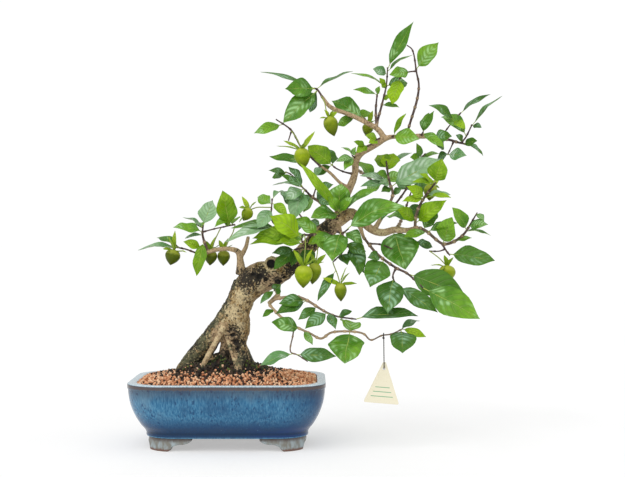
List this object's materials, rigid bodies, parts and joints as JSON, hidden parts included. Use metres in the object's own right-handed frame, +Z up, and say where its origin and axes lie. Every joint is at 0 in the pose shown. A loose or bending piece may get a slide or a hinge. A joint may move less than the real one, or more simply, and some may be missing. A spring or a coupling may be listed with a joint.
{
  "type": "persimmon bonsai in a glazed pot",
  "caption": "Leaning persimmon bonsai with hanging green fruit, large leaves, exposed roots and a swing tag, in a rounded rectangular glazed pot on four corner feet.",
  "frame": {"origin": "bottom centre of the whole object's box, level with the undersides of the pot's feet", "axes": "+Z up, +X towards the side the tree leans to, -Y towards the viewer of the tree's front"},
  "size_m": [0.503, 0.2044, 0.5683],
  "materials": {
    "glaze": "glossy blue glaze",
    "soil": "matt fired clay grains",
    "bark": "rough bark",
    "leaf_bright": "satin young leaf",
    "leaf_mid": "satin leaf",
    "leaf_dark": "satin dark leaf",
    "leaf_pale": "matt leaf underside",
    "fruit": "smooth unripe fruit",
    "screen": "matt",
    "tag": "matt, bare",
    "cord": "twisted thread"
  },
  "bodies": {
    "root": {"pot": "glaze", "drain_screen_left": "screen", "drain_screen_right": "screen", "tree_wood": "bark", "soil": "soil", "stem_mid_left": "leaf_bright", "stem_trunk_top": "leaf_bright", "stem_upright": "leaf_bright", "stem_right_rising": "leaf_bright", "stem_left_tip": "leaf_mid", "stem_left_shoot": "leaf_mid", "stem_heart": "leaf_mid", "stem_centre": "leaf_mid", "stem_left_fork": "leaf_mid", "stem_trunk_left": "leaf_mid", "stem_apex": "leaf_mid", "stem_stub": "leaf_mid", "stem_burr": "leaf_mid", "stem_riser_fork": "leaf_mid", "stem_right_falling": "leaf_mid", "stem_low_start": "leaf_mid", "stem_low_main": "leaf_mid", "stem_back_top": "leaf_mid", "stem_by_knot": "leaf_dark", "stem_top_left": "leaf_dark", "stem_top_behind": "leaf_dark", "stem_behind_fruit": "leaf_dark", "stem_far_right": "leaf_dark", "stem_right_under": "leaf_dark", "stem_hanging_inner": "leaf_dark", "stem_hanging_outer": "leaf_dark", "stem_low_upper": "leaf_dark", "stem_back_left": "leaf_dark", "stem_back_right": "leaf_dark", "stem_crown_left": "leaf_pale", "stem_riser": "leaf_pale", "fruit_left_1": "fruit", "fruit_left_2": "fruit", "fruit_left_3": "fruit", "fruit_left_4": "fruit", "fruit_top_1": "fruit", "fruit_top_2": "fruit", "fruit_top_3": "fruit", "fruit_front_1": "fruit", "fruit_front_2": "fruit", "fruit_front_3": "fruit", "fruit_right_1": "fruit", "fruit_right_2": "fruit", "tag": "tag", "tag_cord": "cord"}
  },
  "joints": []
}
